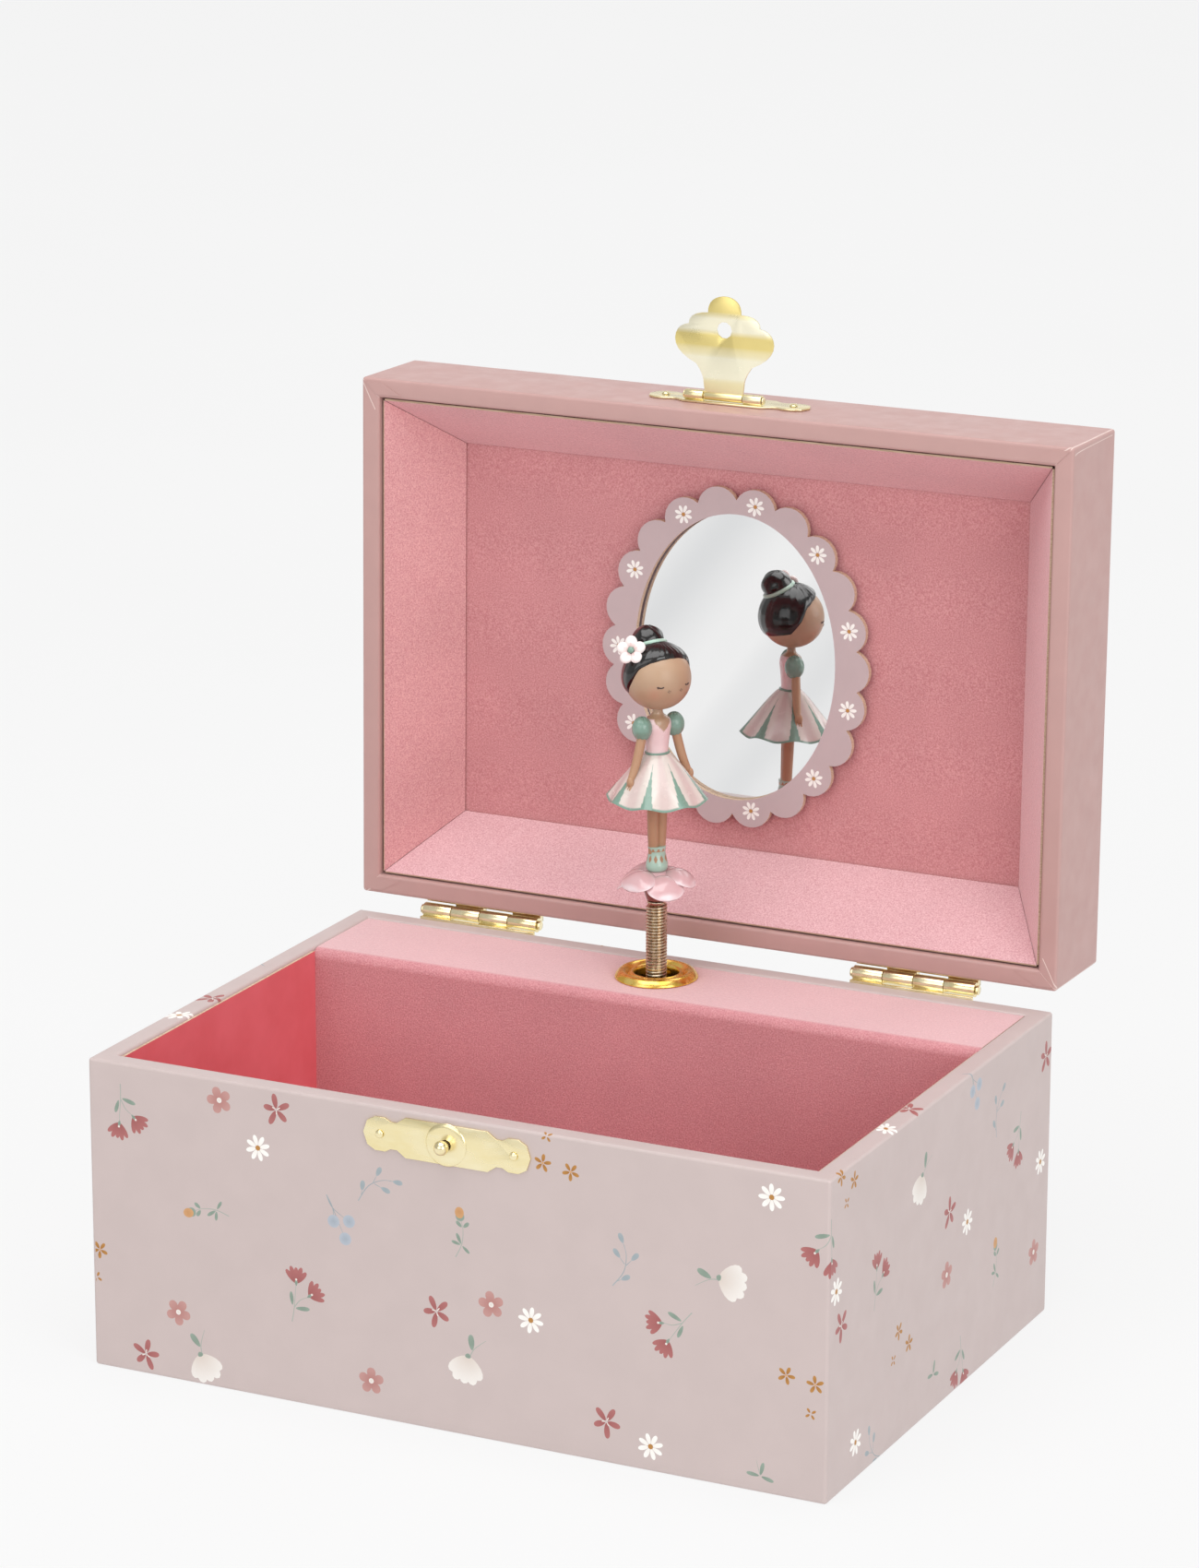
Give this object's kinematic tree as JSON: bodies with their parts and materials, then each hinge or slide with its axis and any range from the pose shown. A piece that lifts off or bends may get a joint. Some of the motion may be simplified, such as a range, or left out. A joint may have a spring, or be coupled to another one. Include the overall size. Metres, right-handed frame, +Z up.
{
  "type": "ballerina jewellery box",
  "caption": "Paper-wrapped jewellery box, lid open on its mirror, with a small sprung dancer that turns to a clockwork movement behind a flocked partition.",
  "frame": {"origin": "centre of the base's underside, on the surface it stands on", "axes": "+X to the right seen from the front, +Y from front to back, +Z up"},
  "size_m": [0.188, 0.1676, 0.2386],
  "materials": {
    "base_paper": "satin printed paper over greyboard, small scattered flowers",
    "lid_paper": "satin plain dusty rose paper over greyboard",
    "coral_card": "smooth coral card",
    "flock": "flocked velvet on card, dusty pink",
    "frame_card": "printed card, mauve with daisies",
    "mirror_glass": "silvered glass",
    "brass": "bright gold-coloured plating",
    "eyelet_brass": "polished deep gold plating",
    "spring_copper": "copper-plated spring wire",
    "steel": "zinc-plated",
    "blue_steel": "tempered spring steel",
    "petal_paint": "glossy painted resin",
    "figure_paint": "hand-painted resin in several colours"
  },
  "bodies": {
    "base": {"base_bottom_board": "base_paper", "base_front_board": "base_paper", "base_back_board": "base_paper", "base_left_board": "base_paper", "base_right_board": "base_paper", "floor_lining": "flock", "front_lining": "coral_card", "left_lining": "coral_card", "right_lining": "coral_card", "mechanism_cover": "flock", "eyelet_ring": "eyelet_brass", "catch_plate": "brass", "catch_knob": "brass", "catch_nail_left": "brass", "catch_nail_right": "brass", "hinge_left_base_leaf": "brass", "hinge_left_pin": "brass", "hinge_right_base_leaf": "brass", "hinge_right_pin": "brass", "movement_bedplate": "steel", "tuned_comb": "steel", "comb_screw_1": "steel", "comb_screw_2": "steel", "mounting_screw_1": "steel", "mounting_screw_2": "steel", "key_escutcheon": "brass"},
    "lid": {"lid_top_board": "lid_paper", "lid_front_board": "lid_paper", "lid_back_board": "lid_paper", "lid_left_board": "lid_paper", "lid_right_board": "lid_paper", "lid_lining_panel": "flock", "lid_lining_front": "flock", "lid_lining_back": "flock", "lid_lining_left": "flock", "lid_lining_right": "flock", "mirror_frame": "frame_card", "mirror_glass": "mirror_glass", "clasp_plate": "brass", "clasp_pin": "brass", "clasp_nail_left": "brass", "clasp_nail_right": "brass", "hinge_left_lid_leaf": "brass", "hinge_right_lid_leaf": "brass"},
    "hasp": {"hasp": "brass"},
    "spring": {"dancer_spring": "spring_copper", "spring_peg": "steel"},
    "dancer": {"petal_foot": "petal_paint", "dancer_figure": "figure_paint"},
    "spindle": {"dancer_spindle": "brass"},
    "barrel": {"spring_barrel": "brass", "mainspring": "blue_steel"},
    "cylinder": {"music_cylinder": "brass"},
    "governor": {"governor_fan": "brass"},
    "key": {"winding_arbor": "steel", "winding_key": "brass"}
  },
  "joints": [
    {"name": "lid_hinge", "type": "hinge", "parent": "base", "child": "lid", "pos_m": [0, 0.0688, 0.0776], "axis": [1, 0, 0], "range_deg": [0, 91]},
    {"name": "hasp_hinge", "type": "hinge", "parent": "lid", "child": "hasp", "pos_m": [0, 0.07958, 0.21403], "axis": [1, 0, 0], "range_deg": [-85, 89]},
    {"name": "dancer_fold", "type": "hinge", "parent": "base", "child": "spring", "pos_m": [-0.003, 0.0495, 0.0787], "axis": [1, 0, 0], "range_deg": [0, 89.2], "deforming": ["dancer_spring"]},
    {"name": "dancer_spin", "type": "hinge", "parent": "spring", "child": "dancer", "pos_m": [-0.003, 0.0495, 0.0942], "axis": [0, 0, 1], "continuous": true},
    {"name": "barrel_spin", "type": "hinge", "parent": "base", "child": "barrel", "pos_m": [-0.003, 0.042, 0.038], "axis": [0, 1, 0], "continuous": true},
    {"name": "cylinder_spin", "type": "hinge", "parent": "base", "child": "cylinder", "pos_m": [0.026, 0.0495, 0.038], "axis": [1, 0, 0], "continuous": true},
    {"name": "spindle_spin", "type": "hinge", "parent": "base", "child": "spindle", "pos_m": [-0.003, 0.0495, 0.06], "axis": [0, 0, 1], "continuous": true},
    {"name": "governor_spin", "type": "hinge", "parent": "base", "child": "governor", "pos_m": [0.052, 0.0495, 0.04709], "axis": [1, 0, 0], "continuous": true},
    {"name": "key_wind", "type": "hinge", "parent": "base", "child": "key", "pos_m": [-0.003, 0.066, 0.038], "axis": [0, 1, 0], "continuous": true}
  ],
  "couplings": [
    {"joint": "dancer_fold", "follows": "lid_hinge", "ratio": 0.98},
    {"joint": "cylinder_spin", "follows": "barrel_spin", "ratio": 4},
    {"joint": "spindle_spin", "follows": "barrel_spin", "ratio": 4},
    {"joint": "dancer_spin", "follows": "barrel_spin", "ratio": 4},
    {"joint": "governor_spin", "follows": "barrel_spin", "ratio": -14}
  ]
}
